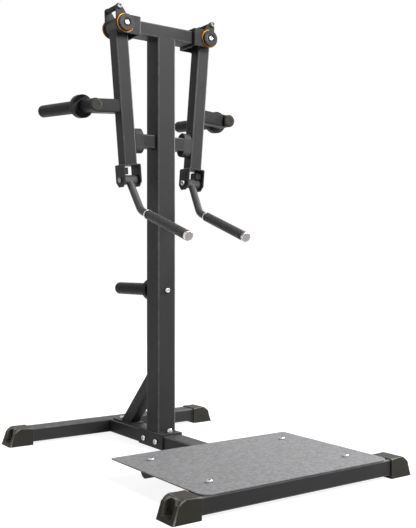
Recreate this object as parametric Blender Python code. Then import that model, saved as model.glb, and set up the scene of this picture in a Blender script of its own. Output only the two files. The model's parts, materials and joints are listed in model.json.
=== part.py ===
"""Standing lateral raise machine: two plate-loaded arms that hang from the crossbar of a post.

Metres, +Z up. The user stands on the platform, which is at the front, towards -Y. Left is -X.
Lengths along Y in the layout below are measured from the column's axis.
"""

import math

import bmesh
import bpy

# Clearances
seam = 0.0003
running_gap = 0.001

# Base tubes, laid flat
base_tube_width = 0.076
base_tube_height = 0.0525
base_tube_wall = 0.003
tube_corner = 0.006
ground_clearance = 0.0098

# Base layout
front_reach = 0.8165
rear_reach = 0.4185

# Feet
machine_width = 0.942
foot_length = 0.0955
foot_side_wall = 0.0065
foot_roof = 0.003
foot_socket_depth = 0.050
foot_slope = math.radians(22.0)
foot_top_radius = 0.026
foot_edge_radius = 0.006
foot_recess_width = 0.054
foot_recess_sill = 0.013
foot_recess_lintel = 0.0045
foot_recess_rim = 0.0018
foot_recess_wall = 0.004

# Column and its saddle over the base beam
column_width = 0.0778
column_depth = 0.0868
column_wall = 0.003
column_corner = 0.007
saddle_plate = 0.006
saddle_front = 0.079
saddle_rear = 0.092
saddle_bolt_pitch = 0.086

# Rear brace
brace_size = 0.050
brace_wall = 0.003
brace_angle = math.radians(46.0)
brace_foot_gap = 0.1027
brace_plate = 0.006
brace_plate_width = 0.060
brace_plate_margin = 0.020
brace_bolt_gap = 0.032

# Platform
platform_foot_gap = 0.007
platform_depth = 0.527
platform_thickness = 0.004
platform_front_corner = 0.030
platform_rear_corner = 0.008
platform_bolt_inset = 0.101
platform_bolt_x = 0.275
platform_arm_radius = 0.025
platform_arm_wall = 0.003
platform_arm_margin = 0.025
lug_thickness = 0.006
lug_width = 0.060
lug_margin = 0.024

# Crossbar and pivot brackets
pivot_x = 0.1854
pivot_z = 1.5725
crossbar_width = 0.076
crossbar_height = 0.050
bracket_plate = 0.008
bracket_reach = 0.0674
bracket_height = 0.066
bracket_bend = 0.0078
tongue_thickness = 0.006
tongue_length = 0.028
tongue_width = 0.072

# Pivot
barrel_radius = 0.030
barrel_length = 0.080
bearing_radius = 0.0235
bearing_width = 0.014
barrel_bore = 0.020
shaft_radius = 0.010
shaft_head_radius = 0.0095
shaft_head_height = 0.006
pivot_cap_radius = 0.0315
pivot_cap_thickness = 0.0135
rear_cap_radius = 0.029
rear_cap_thickness = 0.007
pivot_cap_recess = 0.004
pivot_cap_recess_radius = 0.0135
trim_ring_radius = 0.0345
trim_ring_width = 0.0035

# Arms, which hang leaning towards the column
hang_angle = math.radians(4.7)
arm_size = 0.053
arm_wall = 0.003
arm_length = 0.506

# Upper stop on each arm
yoke_plate = 0.006
yoke_tip_radius = 0.0115
stop_pin_distance = 0.0635
stop_pin_angle = math.radians(14.1)
stop_sleeve_radius = 0.0095

# Lower stop between column and arm
stop_pad_height = 0.093
stop_pad_depth = 0.050
stop_pad_thickness = 0.036
stop_pad_edge = 0.003
stop_pad_above_fork = 0.087
stop_arm_size = 0.050

# Weight horns on the arms
horn_radius = 0.024
horn_wall = 0.003
horn_rise = math.radians(5.0)
horn_toe = math.radians(3.0)
horn_offset = 0.136
horn_drop = 0.2915
horn_front = 0.043
horn_rear = 0.368
horn_bracket_size = 0.049
horn_bracket_drop = 0.002
collar_radius = 0.043
collar_thickness = 0.024
collar_y = 0.054
end_cap_thickness = 0.009
end_plug_length = 0.014
end_plug_clearance = 0.0005

# Storage horn behind the column
storage_z = 0.601
storage_length = 0.269
storage_collar_gap = 0.0035
storage_base = 0.008

# Handle fork and handle
fork_width = 0.073
fork_depth = 0.066
fork_height = 0.0835
fork_plate = 0.005
fork_chamfer = 0.018
fork_bend = 0.005
fork_pin_drop = 0.057
fork_block_width = 0.022
fork_block_depth = 0.040
fork_block_height = 0.025
fork_block_back = 0.024
fork_block_gap = 0.002
handle_barrel_radius = 0.018
handle_rod_radius = 0.014
handle_drop = 0.118
handle_forward = 0.072
handle_bend_radius = 0.050
grip_slope = math.radians(18.6)
grip_start = 0.045
grip_radius = 0.0175
grip_length = 0.256
grip_ring_width = 0.006
grip_cap_thickness = 0.011
grip_cap_socket = 0.005

# Fasteners
bolt_radius = 0.006
bolt_head_radius = 0.0105
bolt_head_height = 0.008
tall_head_height = 0.0155
cap_nut_height = 0.009
platform_bolt_radius = 0.005
platform_bolt_head = 0.0105
platform_bolt_length = 0.026

# Facets of round shapes
fine_facets = 24
rod_facets = 16
bolt_facets = 12
corner_steps = 3

# Derived places
foot_inner_x = machine_width / 2 - foot_length
column_y = (front_reach - rear_reach) / 2
front_tube_y = -front_reach + foot_side_wall + seam + base_tube_width / 2
rear_tube_y = rear_reach - foot_side_wall - seam - base_tube_width / 2
base_top = ground_clearance + base_tube_height
base_middle = ground_clearance + base_tube_height / 2
brace_foot_y = rear_tube_y - base_tube_width / 2 - brace_foot_gap
saddle_top = base_top + seam + saddle_plate
column_top = pivot_z - crossbar_height / 2 - seam
platform_front = front_tube_y - base_tube_width / 2
platform_rear = platform_front + platform_depth
platform_half = foot_inner_x - platform_foot_gap
platform_top = base_top + seam + platform_thickness
front_bolt_y = platform_front + platform_bolt_inset
rear_bolt_y = platform_rear - platform_bolt_inset
arm_half_width = barrel_length / 2 + yoke_plate
ear_inner = arm_half_width + running_gap
ear_outer = ear_inner + bracket_plate
web_outer = pivot_x - bracket_reach
front_head_seat = ear_outer + 2 * seam + pivot_cap_thickness - pivot_cap_recess
rear_head_seat = ear_outer + 2 * seam + rear_cap_thickness
tongue_rise = bolt_head_radius - stop_sleeve_radius + running_gap
stop_pad_drop = arm_length - stop_pad_above_fork
fork_pin_z = -arm_length - fork_pin_drop
grip_direction = (-math.cos(grip_slope), -math.sin(grip_slope))


def clear_scene():
    for thing in list(bpy.data.objects):
        bpy.data.objects.remove(thing, do_unlink=True)


def material(name, colour, roughness, metallic):
    made = bpy.data.materials.get(name)
    if made is None:
        made = bpy.data.materials.new(name)
        made.use_nodes = True
        shader = made.node_tree.nodes["Principled BSDF"]
        shader.inputs["Base Color"].default_value = (*colour, 1.0)
        shader.inputs["Roughness"].default_value = roughness
        shader.inputs["Metallic"].default_value = metallic
    return made


def frame_paint():
    return material("frame_paint", (0.045, 0.045, 0.047), 0.45, 0.0)


def platform_paint():
    return material("platform_paint", (0.20, 0.20, 0.21), 0.75, 0.0)


def foot_plastic():
    return material("foot_plastic", (0.035, 0.033, 0.030), 0.60, 0.0)


def black_plastic():
    return material("black_plastic", (0.020, 0.020, 0.021), 0.40, 0.0)


def rubber():
    return material("rubber", (0.030, 0.030, 0.030), 0.80, 0.0)


def bright_steel():
    return material("bright_steel", (0.62, 0.62, 0.63), 0.25, 1.0)


def chrome():
    return material("chrome", (0.80, 0.80, 0.82), 0.12, 1.0)


def empty(name, location, parent=None, rotation=(0.0, 0.0, 0.0)):
    made = bpy.data.objects.new(name, None)
    made.location = location
    made.rotation_euler = rotation
    made.parent = parent
    bpy.context.scene.collection.objects.link(made)
    return made


def finish(name, mesh_data, parent, look):
    """Turn a bmesh into a named object, faces out, smooth where it is round."""
    bmesh.ops.recalc_face_normals(mesh_data, faces=mesh_data.faces)
    mesh = bpy.data.meshes.new(name)
    mesh_data.to_mesh(mesh)
    mesh_data.free()
    mesh.shade_smooth()
    mesh.set_sharp_from_angle(angle=math.radians(35))
    made = bpy.data.objects.new(name, mesh)
    made.parent = parent
    if look is not None:
        mesh.materials.append(look)
    bpy.context.scene.collection.objects.link(made)
    return made


def tool(name, mesh_data, parent):
    """A cutter, or a shape that a Boolean adds: it isn't a piece itself."""
    made = finish(name, mesh_data, parent, None)
    made.hide_render = True
    made.display_type = "WIRE"
    return made


def boolean(target, operation, other):
    step = target.modifiers.new(operation.lower(), "BOOLEAN")
    step.operation = operation
    step.solver = "EXACT"
    step.object = other


def place(axis, along, u, v):
    """A point at a distance along an axis, with u and v on the other two in X, Y, Z order."""
    if axis == "X":
        return (along, u, v)
    if axis == "Y":
        return (u, along, v)
    return (u, v, along)


def value_at(end, u, v):
    return end(u, v) if callable(end) else end


def arc(centre_u, centre_v, radius, start, stop, steps):
    points = []
    for step in range(steps + 1):
        angle = start + (stop - start) * step / steps
        points.append((centre_u + radius * math.cos(angle), centre_v + radius * math.sin(angle)))
    return points


def rounded_rectangle(width, height, radii, centre=(0.0, 0.0)):
    """Outline with a radius for each corner: right top, left top, left bottom, right bottom."""
    signs = ((1, 1), (-1, 1), (-1, -1), (1, -1))
    points = []
    for turn, ((sign_u, sign_v), radius) in enumerate(zip(signs, radii)):
        corner_u = centre[0] + sign_u * (width / 2 - radius)
        corner_v = centre[1] + sign_v * (height / 2 - radius)
        start = turn * math.pi / 2
        points += arc(corner_u, corner_v, radius, start, start + math.pi / 2, corner_steps)
    return points


def prism(outline, start, end, axis):
    """A solid of one outline; its ends are flat, or follow a function of the outline's point."""
    made = bmesh.new()
    first = [made.verts.new(place(axis, value_at(start, u, v), u, v)) for u, v in outline]
    last = [made.verts.new(place(axis, value_at(end, u, v), u, v)) for u, v in outline]
    made.faces.new(first)
    made.faces.new(last)
    join_rings(made, first, last)
    return made


def join_rings(made, first, last):
    count = len(first)
    for index in range(count):
        following = (index + 1) % count
        made.faces.new((first[index], first[following], last[following], last[index]))


def hollow(outer, inner, start, end, axis):
    """An open-ended tube between two outlines with the same number of points."""
    made = bmesh.new()
    rings = []
    for outline, stop in ((outer, start), (outer, end), (inner, end), (inner, start)):
        rings.append([made.verts.new(place(axis, value_at(stop, u, v), u, v)) for u, v in outline])
    for index in range(4):
        join_rings(made, rings[index], rings[(index + 1) % 4])
    return made


def square_tube(width, height, wall, corner, start, end, axis, centre=(0.0, 0.0)):
    outer = rounded_rectangle(width, height, (corner,) * 4, centre)
    inner_corner = max(corner - wall, corner / 4)
    inner = rounded_rectangle(width - 2 * wall, height - 2 * wall, (inner_corner,) * 4, centre)
    return hollow(outer, inner, start, end, axis)


def block(size, centre):
    made = bmesh.new()
    bmesh.ops.create_cube(made, size=1.0)
    for vertex in made.verts:
        for index in range(3):
            vertex.co[index] = centre[index] + vertex.co[index] * size[index]
    return made


def turned(profile, facets, axis, centre=(0.0, 0.0), flip=1):
    """Spin a profile of (radius, along) points. A third value of "hex" makes that ring a hexagon.

    A profile that starts and ends on the axis makes a solid, any other one closes into a ring.
    """
    made = bmesh.new()
    rings = []
    for point in profile:
        radius, along = point[0], point[1] * flip
        if radius == 0.0:
            rings.append([made.verts.new(place(axis, along, centre[0], centre[1]))])
            continue
        ring = []
        for step in range(facets):
            angle = 2 * math.pi * step / facets
            reach = radius
            if len(point) == 3:
                to_flat = (angle % (math.pi / 3)) - math.pi / 6
                reach = radius * math.cos(math.pi / 6) / math.cos(to_flat)
            u = centre[0] + reach * math.cos(angle)
            v = centre[1] + reach * math.sin(angle)
            ring.append(made.verts.new(place(axis, along, u, v)))
        rings.append(ring)
    pairs = list(zip(rings, rings[1:]))
    if len(rings[0]) > 1 and len(rings[-1]) > 1:
        pairs.append((rings[-1], rings[0]))
    for first, last in pairs:
        if len(first) == 1:
            fan(made, first[0], last)
        elif len(last) == 1:
            fan(made, last[0], first)
        else:
            join_rings(made, first, last)
    return made


def fan(made, tip, ring):
    for index, vertex in enumerate(ring):
        made.faces.new((tip, vertex, ring[(index + 1) % len(ring)]))


def rod_along(path, radius, facets):
    """A round rod whose centre follows points (y, z) in the plane x = 0, with flat ends."""
    made = bmesh.new()
    rings = []
    for index, (y, z) in enumerate(path):
        before = path[max(index - 1, 0)]
        after = path[min(index + 1, len(path) - 1)]
        heading = math.atan2(after[1] - before[1], after[0] - before[0])
        across = (-math.sin(heading), math.cos(heading))
        ring = []
        for step in range(facets):
            angle = 2 * math.pi * step / facets
            side = radius * math.sin(angle)
            point = (radius * math.cos(angle), y + across[0] * side, z + across[1] * side)
            ring.append(made.verts.new(point))
        rings.append(ring)
    for first, last in zip(rings, rings[1:]):
        join_rings(made, first, last)
    made.faces.new(rings[0])
    made.faces.new(rings[-1])
    return made


def bolt_profile(head_radius, head_height, radius, length, nut_height=0.0):
    """Button head with a hexagon socket above 0, shank below, and a cap nut at the end if asked."""
    socket = head_radius * 0.5
    points = [
        (0.0, head_height * 0.35),
        (socket, head_height * 0.35, "hex"),
        (socket, head_height, "hex"),
        (head_radius * 0.72, head_height * 0.92),
        (head_radius, head_height * 0.35),
        (head_radius, 0.0),
        (radius, 0.0),
        (radius, -length),
    ]
    if nut_height:
        points += [
            (head_radius, -length, "hex"),
            (head_radius, -length - nut_height * 0.6, "hex"),
            (head_radius * 0.7, -length - nut_height * 0.9),
            (0.0, -length - nut_height),
        ]
    else:
        points.append((0.0, -length))
    return points


def hole(name, radius, start, end, axis, centre, parent):
    circle = arc(centre[0], centre[1], radius, 0.0, 2 * math.pi, bolt_facets)[:-1]
    return tool(name, prism(circle, start, end, axis), parent)


def cross_tube(name, middle_y, base):
    half = foot_inner_x + foot_socket_depth - seam
    centre = (middle_y, base_middle)
    shape = square_tube(
        base_tube_width, base_tube_height, base_tube_wall, tube_corner, -half, half, "X", centre
    )
    return finish(name, shape, base, frame_paint())


def front_cross_tube(base):
    """The front tube carries two lugs that the platform's front bolts go through."""
    tube = cross_tube("front_cross_tube", front_tube_y, base)
    back = front_tube_y + base_tube_width / 2
    lug_rear = front_bolt_y + lug_margin
    inside = base_tube_wall / 2
    for side, word in ((-1, "left"), (1, "right")):
        size = (lug_width, lug_rear - back + inside, lug_thickness)
        middle = (side * platform_bolt_x, (lug_rear + back - inside) / 2, base_top - lug_thickness)
        boolean(tube, "UNION", tool("lug_" + word, block(size, middle), base))
        centre = (side * platform_bolt_x, front_bolt_y)
        low, high = base_top - 3 * lug_thickness, base_top + lug_thickness
        radius = platform_bolt_radius + seam
        boolean(tube, "DIFFERENCE", hole("lug_hole_" + word, radius, low, high, "Z", centre, base))
    return tube


def base_beam(base):
    """Beam from cross tube to cross tube, with a round arm each side under the platform."""
    start = front_tube_y + base_tube_width / 2 + seam
    end = rear_tube_y - base_tube_width / 2 - seam
    shape = square_tube(
        base_tube_width, base_tube_height, base_tube_wall, tube_corner, start, end, "Y",
        (0.0, base_middle),
    )
    beam = finish("base_beam", shape, base, frame_paint())
    inside = base_tube_wall / 2
    for side, word in ((-1, "left"), (1, "right")):
        root = base_tube_width / 2 - inside
        tip = platform_bolt_x + platform_arm_margin
        centre = (rear_bolt_y, base_middle)
        radius = platform_arm_radius
        outside = [(0.0, root), (radius, root), (radius, tip), (0.0, tip)]
        arm = turned(outside, fine_facets, "X", centre, side)
        boolean(beam, "UNION", tool("platform_arm_" + word, arm, base))
        radius = platform_arm_radius - platform_arm_wall
        closed = tip - platform_arm_wall
        inside_arm = [(0.0, root), (radius, root), (radius, closed), (0.0, closed)]
        cavity = turned(inside_arm, rod_facets, "X", centre, side)
        boolean(beam, "DIFFERENCE", tool("platform_arm_cavity_" + word, cavity, base))
        place_of_bolt = (side * platform_bolt_x, rear_bolt_y)
        radius = platform_bolt_radius + seam
        cutter = hole(
            "platform_arm_hole_" + word, radius, base_middle, base_top + 0.01, "Z",
            place_of_bolt, base,
        )
        boolean(beam, "DIFFERENCE", cutter)
    half = base_tube_width
    for number, y in enumerate(saddle_bolt_places()):
        cutter = hole(
            f"beam_bolt_hole_{number}", bolt_radius + seam, -half, half, "X", (y, base_middle), base
        )
        boolean(beam, "DIFFERENCE", cutter)
    for number, y in enumerate((saddle_top_bolt_y(), brace_bolt_y())):
        cutter = hole(
            f"beam_top_hole_{number}", bolt_radius + seam, base_middle, base_top + 0.01, "Z",
            (0.0, y), base,
        )
        boolean(beam, "DIFFERENCE", cutter)
    return beam


def saddle_bolt_places():
    middle = (saddle_rear - saddle_front) / 2
    return (middle - saddle_bolt_pitch / 2, middle + saddle_bolt_pitch / 2)


def saddle_top_bolt_y():
    return -(saddle_front + column_depth / 2) / 2


def brace_rear_y():
    """Where the brace's upper side meets its foot plate."""
    return brace_foot_y + brace_size / 2 / math.sin(brace_angle)


def brace_bolt_y():
    return brace_rear_y() + brace_bolt_gap


def column(base):
    """Post with the saddle that straddles the base beam, and the two arms of the lower stops."""
    shape = square_tube(
        column_width, column_depth, column_wall, column_corner,
        saddle_top - saddle_plate / 2, column_top, "Z",
    )
    post = finish("column", shape, base, frame_paint())
    half = base_tube_width / 2 + seam + saddle_plate
    length = saddle_front + saddle_rear
    middle_y = (saddle_rear - saddle_front) / 2
    outline = rounded_rectangle(
        2 * half, saddle_top - ground_clearance, (saddle_plate / 2, saddle_plate / 2, 0.001, 0.001),
        (0.0, (saddle_top + ground_clearance) / 2),
    )
    saddle = tool("saddle", prism(outline, -saddle_front, saddle_rear, "Y"), base)
    boolean(post, "UNION", saddle)
    inner_top = base_top + seam
    void = block(
        (base_tube_width + 2 * seam, length * 2, inner_top),
        (0.0, middle_y, inner_top / 2),
    )
    boolean(post, "DIFFERENCE", tool("saddle_void", void, base))
    for number, y in enumerate(saddle_bolt_places()):
        cutter = hole(
            f"saddle_hole_{number}", bolt_radius + seam, -2 * half, 2 * half, "X",
            (y, base_middle), base,
        )
        boolean(post, "DIFFERENCE", cutter)
    cutter = hole(
        "saddle_top_hole", bolt_radius + seam, base_middle, saddle_top + 0.01, "Z",
        (0.0, saddle_top_bolt_y()), base,
    )
    boolean(post, "DIFFERENCE", cutter)
    for side, word in ((-1, "left"), (1, "right")):
        boolean(post, "UNION", tool("stop_arm_" + word, stop_arm(side), base))
    cutter = hole(
        "storage_bolt_hole", bolt_radius + seam, -column_depth, column_depth, "Y",
        (0.0, storage_z), base,
    )
    boolean(post, "DIFFERENCE", cutter)
    return post


def stop_height():
    """Height of the lower stops: the pad's middle, followed from the pivot down the leaning arm."""
    return pivot_z - stop_pad_drop * math.cos(hang_angle) + pad_middle() * math.sin(hang_angle)


def pad_middle():
    """Distance of the pad's middle from the arm's centre line."""
    return arm_size / 2 + seam + stop_pad_thickness / 2


def stop_arm(side):
    """Square tube out of the column; its end is cut to lie along the leaning pad."""
    height = stop_height()
    inner_face = arm_size / 2 + 2 * seam + stop_pad_thickness

    def end(u, v):
        drop = (pivot_z - v + inner_face * math.sin(hang_angle)) / math.cos(hang_angle)
        return side * (pivot_x - drop * math.sin(hang_angle) - inner_face * math.cos(hang_angle))

    root = side * (column_width / 2 - column_wall / 2)
    return square_tube(
        stop_arm_size, stop_arm_size, column_wall, tube_corner, root, end, "X", (0.0, height)
    )


def brace(base):
    """Leaning tube from the base beam to the column's back, welded to a plate on the beam."""
    rise = math.tan(brace_angle)
    plate_top = base_top + seam + brace_plate
    seat = plate_top - brace_plate / 2
    column_back = column_depth / 2 + seam
    thick = brace_size / math.sin(brace_angle)
    outer = rounded_rectangle(brace_size, thick, (tube_corner,) * 4, (0.0, brace_foot_y))
    hole_size = brace_size - 2 * brace_wall
    hole_thick = thick - 2 * brace_wall / math.sin(brace_angle)
    inner = rounded_rectangle(hole_size, hole_thick, (tube_corner / 2,) * 4, (0.0, brace_foot_y))
    made = hollow(outer, inner, seat, plate_top, "Z")
    for vertex in made.verts:
        if vertex.co.z > (seat + plate_top) / 2:
            foot = vertex.co.y
            vertex.co.y = column_back
            vertex.co.z = seat + (foot - column_back) * rise
    tube = finish("rear_brace", made, base, frame_paint())
    front = brace_foot_y - thick / 2 - brace_plate_margin
    rear = brace_bolt_y() + brace_plate_margin
    size = (brace_plate_width, rear - front, brace_plate)
    plate = block(size, (0.0, (front + rear) / 2, plate_top - brace_plate / 2))
    boolean(tube, "UNION", tool("brace_plate", plate, base))
    cutter = hole(
        "brace_plate_hole", bolt_radius + seam, base_middle, plate_top + 0.01, "Z",
        (0.0, brace_bolt_y()), base,
    )
    boolean(tube, "DIFFERENCE", cutter)
    return tube


def foot(name, side, middle_y, base):
    """Moulded end cap: a socket for the tube, a sloping outer end with an arched recess."""
    inner = foot_inner_x
    top = base_top + seam + foot_roof
    lean = math.tan(foot_slope)
    outer = inner + foot_length
    arc_centre_z = top - foot_top_radius
    slope_end_z = arc_centre_z + foot_top_radius * math.sin(foot_slope)
    slope_end_x = outer - slope_end_z * lean
    arc_centre_x = slope_end_x - foot_top_radius * math.cos(foot_slope)
    round_part = arc(arc_centre_x, arc_centre_z, foot_top_radius, foot_slope, math.pi / 2, 5)
    outline = [(inner, 0.0), (outer, 0.0)] + round_part + [(inner, top)]
    outline = [(side * x, z) for x, z in outline]
    half = base_tube_width / 2 + seam + foot_side_wall
    shape = prism(outline, middle_y - half, middle_y + half, "Y")
    edges = [edge for edge in shape.edges if outline_edge(edge, inner)]
    bmesh.ops.bevel(
        shape, geom=edges, offset=foot_edge_radius, segments=2, profile=0.5, affect="EDGES"
    )
    made = finish(name, shape, base, foot_plastic())
    socket = rounded_rectangle(
        base_tube_width + 2 * seam, base_tube_height + 2 * seam, (tube_corner,) * 4,
        (middle_y, base_middle),
    )
    end = side * (inner + foot_socket_depth)
    mouth = side * (inner - foot_socket_depth)
    boolean(made, "DIFFERENCE", tool(name + "_socket", prism(socket, mouth, end, "X"), base))

    def end_face(z):
        if z < slope_end_z:
            return outer - z * lean
        return arc_centre_x + math.sqrt(foot_top_radius ** 2 - (z - arc_centre_z) ** 2)

    shape = recess_shape(middle_y, top, side, end_face)
    boolean(made, "DIFFERENCE", tool(name + "_recess", shape, base))
    return made


def recess_shape(middle_y, top, side, end_face):
    """Arched hollow with a chamfered rim; end_face gives the foot's end at a height."""
    rim = foot_recess_rim
    floor = foot_inner_x + foot_socket_depth + foot_recess_wall
    stages = (
        (2 * rim, lambda z: machine_width / 2 + rim),
        (2 * rim, lambda z: end_face(z) + rim),
        (0.0, lambda z: end_face(z) - rim),
        (0.0, lambda z: floor),
    )
    made = bmesh.new()
    rings = []
    for grow, reach in stages:
        low = foot_recess_sill - grow
        high = top - foot_recess_lintel + grow
        outline = arch_outline(middle_y, foot_recess_width / 2 + grow, low, high)
        rings.append([made.verts.new((side * reach(z), y, z)) for y, z in outline])
    made.faces.new(rings[0])
    made.faces.new(rings[-1])
    for first, last in zip(rings, rings[1:]):
        join_rings(made, first, last)
    return made


def outline_edge(edge, inner):
    """Edges of a foot's two long faces, without those on the floor and at the tube."""
    low = max(vertex.co.z for vertex in edge.verts) < 0.001
    at_tube = all(abs(abs(vertex.co.x) - inner) < 0.001 for vertex in edge.verts)
    across = abs(edge.verts[0].co.y - edge.verts[1].co.y) > 0.001
    return not low and not at_tube and not across


def arch_outline(middle, half, bottom, top):
    rounding = half * 0.75
    left = arc(middle - half + rounding, top - rounding, rounding, math.pi, math.pi / 2, 4)
    right = arc(middle + half - rounding, top - rounding, rounding, math.pi / 2, 0.0, 4)
    return [(middle - half, bottom)] + left + right + [(middle + half, bottom)]


def platform(base):
    outline = rounded_rectangle(
        2 * platform_half, platform_depth,
        (platform_rear_corner, platform_rear_corner, platform_front_corner, platform_front_corner),
        (0.0, (platform_front + platform_rear) / 2),
    )
    shape = prism(outline, platform_top - platform_thickness, platform_top, "Z")
    plate = finish("platform", shape, base, platform_paint())
    for number, centre in enumerate(platform_bolt_places()):
        low, high = platform_top - 2 * platform_thickness, platform_top + platform_thickness
        radius = platform_bolt_radius + seam
        cutter = hole(f"platform_hole_{number}", radius, low, high, "Z", centre, base)
        boolean(plate, "DIFFERENCE", cutter)
    return plate


def platform_bolt_places():
    return [
        (side * platform_bolt_x, y) for y in (front_bolt_y, rear_bolt_y) for side in (-1, 1)
    ]


def bolt(name, profile, axis, centre, seat, flip, parent):
    """A turned bolt whose head rests on a face at seat; flip -1 points the head the other way."""
    shifted = [(point[0], point[1] + flip * seat, *point[2:]) for point in profile]
    shape = turned(shifted, bolt_facets, axis, centre, flip)
    return finish(name, shape, parent, bright_steel())


def base_bolts(base):
    names = ("front_left", "front_right", "rear_left", "rear_right")
    profile = bolt_profile(
        platform_bolt_head, bolt_head_height, platform_bolt_radius, platform_bolt_length
    )
    for word, centre in zip(names, platform_bolt_places()):
        bolt("platform_bolt_" + word, profile, "Z", centre, platform_top + seam, 1, base)
    side_face = base_tube_width / 2 + 2 * seam + saddle_plate
    profile = bolt_profile(
        bolt_head_radius, bolt_head_height, bolt_radius, 2 * side_face, cap_nut_height
    )
    for word, y in zip(("front", "rear"), saddle_bolt_places()):
        bolt("saddle_bolt_" + word, profile, "X", (y, base_middle), -side_face, -1, base)
    for name, y, seat, head_height in (
        ("saddle_top_bolt", saddle_top_bolt_y(), saddle_top + seam, tall_head_height),
        ("brace_bolt", brace_bolt_y(), base_top + 2 * seam + brace_plate, bolt_head_height),
    ):
        profile = bolt_profile(bolt_head_radius, head_height, bolt_radius, seat - base_middle)
        bolt(name, profile, "Z", (0.0, y), seat, 1, base)


def horn_profile(front, rear, collar_at):
    """Half section of a horn's outside, from its front end to its rear end."""
    return [
        (horn_radius, front),
        (horn_radius, collar_at),
        (collar_radius, collar_at),
        (collar_radius, collar_at + collar_thickness),
        (horn_radius, collar_at + collar_thickness),
        (horn_radius, rear),
    ]


def end_cap(name, at, flip, parent, look):
    """Plastic cap with a rounded rim, and a plug that goes into the horn's bore."""
    plug = horn_radius - horn_wall - end_plug_clearance
    rim = end_cap_thickness * 0.6
    rounding = [
        (horn_radius - rim + rim * math.cos(angle), end_cap_thickness - rim + rim * math.sin(angle))
        for angle in (0.0, math.pi / 6, math.pi / 3, math.pi / 2)
    ]
    profile = [(0.0, -end_plug_length), (plug, -end_plug_length), (plug, seam), (horn_radius, seam)]
    profile += [(radius, along + seam) for radius, along in rounding]
    profile.append((0.0, end_cap_thickness + seam))
    shifted = [(radius, along + flip * at) for radius, along in profile]
    return finish(name, turned(shifted, fine_facets, "Y", (0.0, 0.0), flip), parent, look)


def storage_horn(base):
    """Horn on the column's back that holds spare plates, closed by a plate at its root."""
    rig = empty("storage_axis", (0.0, 0.0, storage_z), base)
    root = column_depth / 2 + seam
    rear = root + storage_length
    bore = horn_radius - horn_wall
    clearance = bolt_radius + seam
    profile = horn_profile(root, rear, root + storage_collar_gap)
    profile += [(bore, rear), (bore, root + storage_base), (clearance, root + storage_base)]
    profile += [(clearance, root)]
    finish("storage_horn", turned(profile, fine_facets, "Y"), rig, frame_paint())
    end_cap("storage_end_cap", rear, 1, rig, black_plastic())
    face = column_depth / 2 + seam
    length = 2 * face + storage_base + seam
    profile = bolt_profile(bolt_head_radius, bolt_head_height, bolt_radius, length, cap_nut_height)
    bolt("storage_bolt", profile, "Y", (0.0, 0.0), -face, -1, rig)


def crossbar(base):
    half = web_outer - seam
    shape = square_tube(
        crossbar_width, crossbar_height, base_tube_wall, tube_corner, -half, half, "X",
        (0.0, pivot_z),
    )
    return finish("crossbar", shape, base, frame_paint())


def pivot_bracket(word, side, rig):
    """Bent plate on the crossbar's end: a web, two ears round the pivot and a stop tongue."""
    half = bracket_height / 2
    nose = arc(0.0, 0.0, half, math.pi / 2, -math.pi / 2, 12)
    outline = [(-bracket_reach, half)] + nose + [(-bracket_reach, -half)]
    outline = [(side * x, z) for x, z in outline]
    shape = prism(outline, -ear_outer, ear_outer, "Y")
    bends = [edge for edge in shape.edges if bend_edge(edge)]
    bmesh.ops.bevel(shape, geom=bends, offset=bracket_bend, segments=3, profile=0.5, affect="EDGES")
    made = finish("pivot_bracket_" + word, shape, rig, frame_paint())
    room = bracket_reach + bracket_height
    size = (room, 2 * ear_inner, 2 * bracket_height)
    middle = side * (room / 2 - bracket_reach + bracket_plate)
    boolean(made, "DIFFERENCE", tool("bracket_void_" + word, block(size, (middle, 0, 0)), rig))
    overlap = bracket_plate / 2
    reach = tongue_length + overlap
    size = (reach, tongue_width, tongue_thickness)
    middle = side * (reach / 2 - bracket_reach + bracket_plate - overlap)
    height = half + tongue_rise - tongue_thickness / 2
    boolean(made, "UNION", tool("tongue_" + word, block(size, (middle, 0.0, height)), rig))
    radius = shaft_radius + seam
    cutter = turned_hole("bracket_hole_" + word, radius, ear_outer * 2, rig)
    boolean(made, "DIFFERENCE", cutter)
    return made


def bend_edge(edge):
    """Upright edges where the bracket's web turns into its ears."""
    first, last = edge.verts
    upright = abs(first.co.z - last.co.z) > bracket_height / 2
    return upright and abs(first.co.x - last.co.x) < 0.001 and abs(first.co.x) > bracket_reach / 2


def turned_hole(name, radius, half, parent):
    profile = [(0.0, -half), (radius, -half), (radius, half), (0.0, half)]
    return tool(name, turned(profile, rod_facets, "Y"), parent)


def shaft_end(seat, flip):
    """Button head with a hexagon socket on the end of the pivot shaft, from its tip inwards."""
    socket = shaft_head_radius * 0.5
    points = [
        (0.0, seat + shaft_head_height * 0.4),
        (socket, seat + shaft_head_height * 0.4, "hex"),
        (socket, seat + shaft_head_height, "hex"),
        (shaft_head_radius * 0.8, seat + shaft_head_height),
        (shaft_head_radius, seat + shaft_head_height * 0.5),
        (shaft_head_radius, seat),
        (shaft_radius, seat),
    ]
    return [(point[0], flip * point[1], *point[2:]) for point in points]


def pivot_shaft(word, rig):
    profile = shaft_end(front_head_seat, -1) + shaft_end(rear_head_seat, 1)[::-1]
    finish("pivot_shaft_" + word, turned(profile, rod_facets, "Y"), rig, bright_steel())


def front_cap(word, rig):
    """Round cap over the ear, with a raised trim ring at its back and a recess for the head."""
    start = ear_outer + seam
    end = start + pivot_cap_thickness
    edge = pivot_cap_thickness * 0.16
    bore = shaft_radius + seam
    profile = [
        (bore, start),
        (trim_ring_radius, start),
        (trim_ring_radius, start + trim_ring_width),
        (pivot_cap_radius, start + trim_ring_width),
        (pivot_cap_radius, end - edge),
        (pivot_cap_radius - edge, end),
        (pivot_cap_recess_radius + edge, end),
        (pivot_cap_recess_radius, end - pivot_cap_recess),
        (bore, end - pivot_cap_recess),
    ]
    shape = turned(profile, fine_facets, "Y", (0.0, 0.0), -1)
    finish("pivot_cap_front_" + word, shape, rig, black_plastic())


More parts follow.
